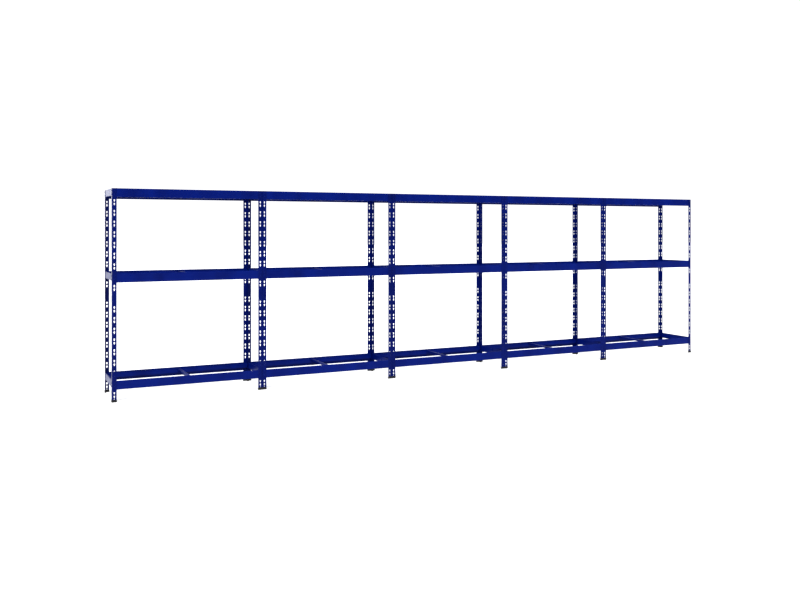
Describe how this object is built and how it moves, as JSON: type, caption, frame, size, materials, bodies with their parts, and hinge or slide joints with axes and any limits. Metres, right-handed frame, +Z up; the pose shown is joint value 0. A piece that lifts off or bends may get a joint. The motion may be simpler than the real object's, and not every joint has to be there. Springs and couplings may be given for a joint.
{
  "type": "tyre storage rack",
  "caption": "Long boltless steel rack in blue for storing tyres upright: keyhole posts joined by folded beams on three levels, with tie bars across each bay and black foot caps.",
  "frame": {"origin": "on the floor, at the middle of the run and of its depth", "axes": "+X along the run to the right as seen from the front, +Y to the rear, +Z up"},
  "size_m": [6.5044, 0.5044, 1.8],
  "materials": {
    "blue_posts": "royal blue powder coat, semi-gloss, on 1.5 mm steel sheet",
    "blue_beams": "royal blue powder coat, semi-gloss, on 1.5 mm steel sheet",
    "blue_rivets": "steel rivets coated blue together with their beams",
    "black_plastic": "moulded black polypropylene, matt"
  },
  "bodies": {
    "root": {"front_post_1": "blue_posts", "front_post_2": "blue_posts", "front_post_3": "blue_posts", "front_post_4": "blue_posts", "front_post_5": "blue_posts", "front_post_6": "blue_posts", "rear_post_1": "blue_posts", "rear_post_2": "blue_posts", "rear_post_3": "blue_posts", "rear_post_4": "blue_posts", "rear_post_5": "blue_posts", "rear_post_6": "blue_posts", "corner_post_feet": "black_plastic", "tee_post_feet": "black_plastic", "corner_post_splices": "blue_posts", "tee_post_splices": "blue_posts", "front_bottom_beam_1": "blue_beams", "rear_bottom_beam_1": "blue_beams", "front_bottom_beam_2": "blue_beams", "rear_bottom_beam_2": "blue_beams", "front_bottom_beam_3": "blue_beams", "rear_bottom_beam_3": "blue_beams", "front_bottom_beam_4": "blue_beams", "rear_bottom_beam_4": "blue_beams", "front_bottom_beam_5": "blue_beams", "rear_bottom_beam_5": "blue_beams", "front_middle_beam_1": "blue_beams", "rear_middle_beam_1": "blue_beams", "front_middle_beam_2": "blue_beams", "rear_middle_beam_2": "blue_beams", "front_middle_beam_3": "blue_beams", "rear_middle_beam_3": "blue_beams", "front_middle_beam_4": "blue_beams", "rear_middle_beam_4": "blue_beams", "front_middle_beam_5": "blue_beams", "rear_middle_beam_5": "blue_beams", "front_top_beam_1": "blue_beams", "rear_top_beam_1": "blue_beams", "front_top_beam_2": "blue_beams", "rear_top_beam_2": "blue_beams", "front_top_beam_3": "blue_beams", "rear_top_beam_3": "blue_beams", "front_top_beam_4": "blue_beams", "rear_top_beam_4": "blue_beams", "front_top_beam_5": "blue_beams", "rear_top_beam_5": "blue_beams", "side_beams_1": "blue_beams", "side_beams_2": "blue_beams", "side_beams_3": "blue_beams", "side_beams_4": "blue_beams", "side_beams_5": "blue_beams", "side_beams_6": "blue_beams", "tie_bars_1": "blue_beams", "tie_bars_2": "blue_beams", "tie_bars_3": "blue_beams", "tie_bars_4": "blue_beams", "tie_bars_5": "blue_beams", "long_beam_rivets": "blue_rivets", "end_side_beam_rivets": "blue_rivets", "inner_side_beam_rivets": "blue_rivets"}
  },
  "joints": []
}
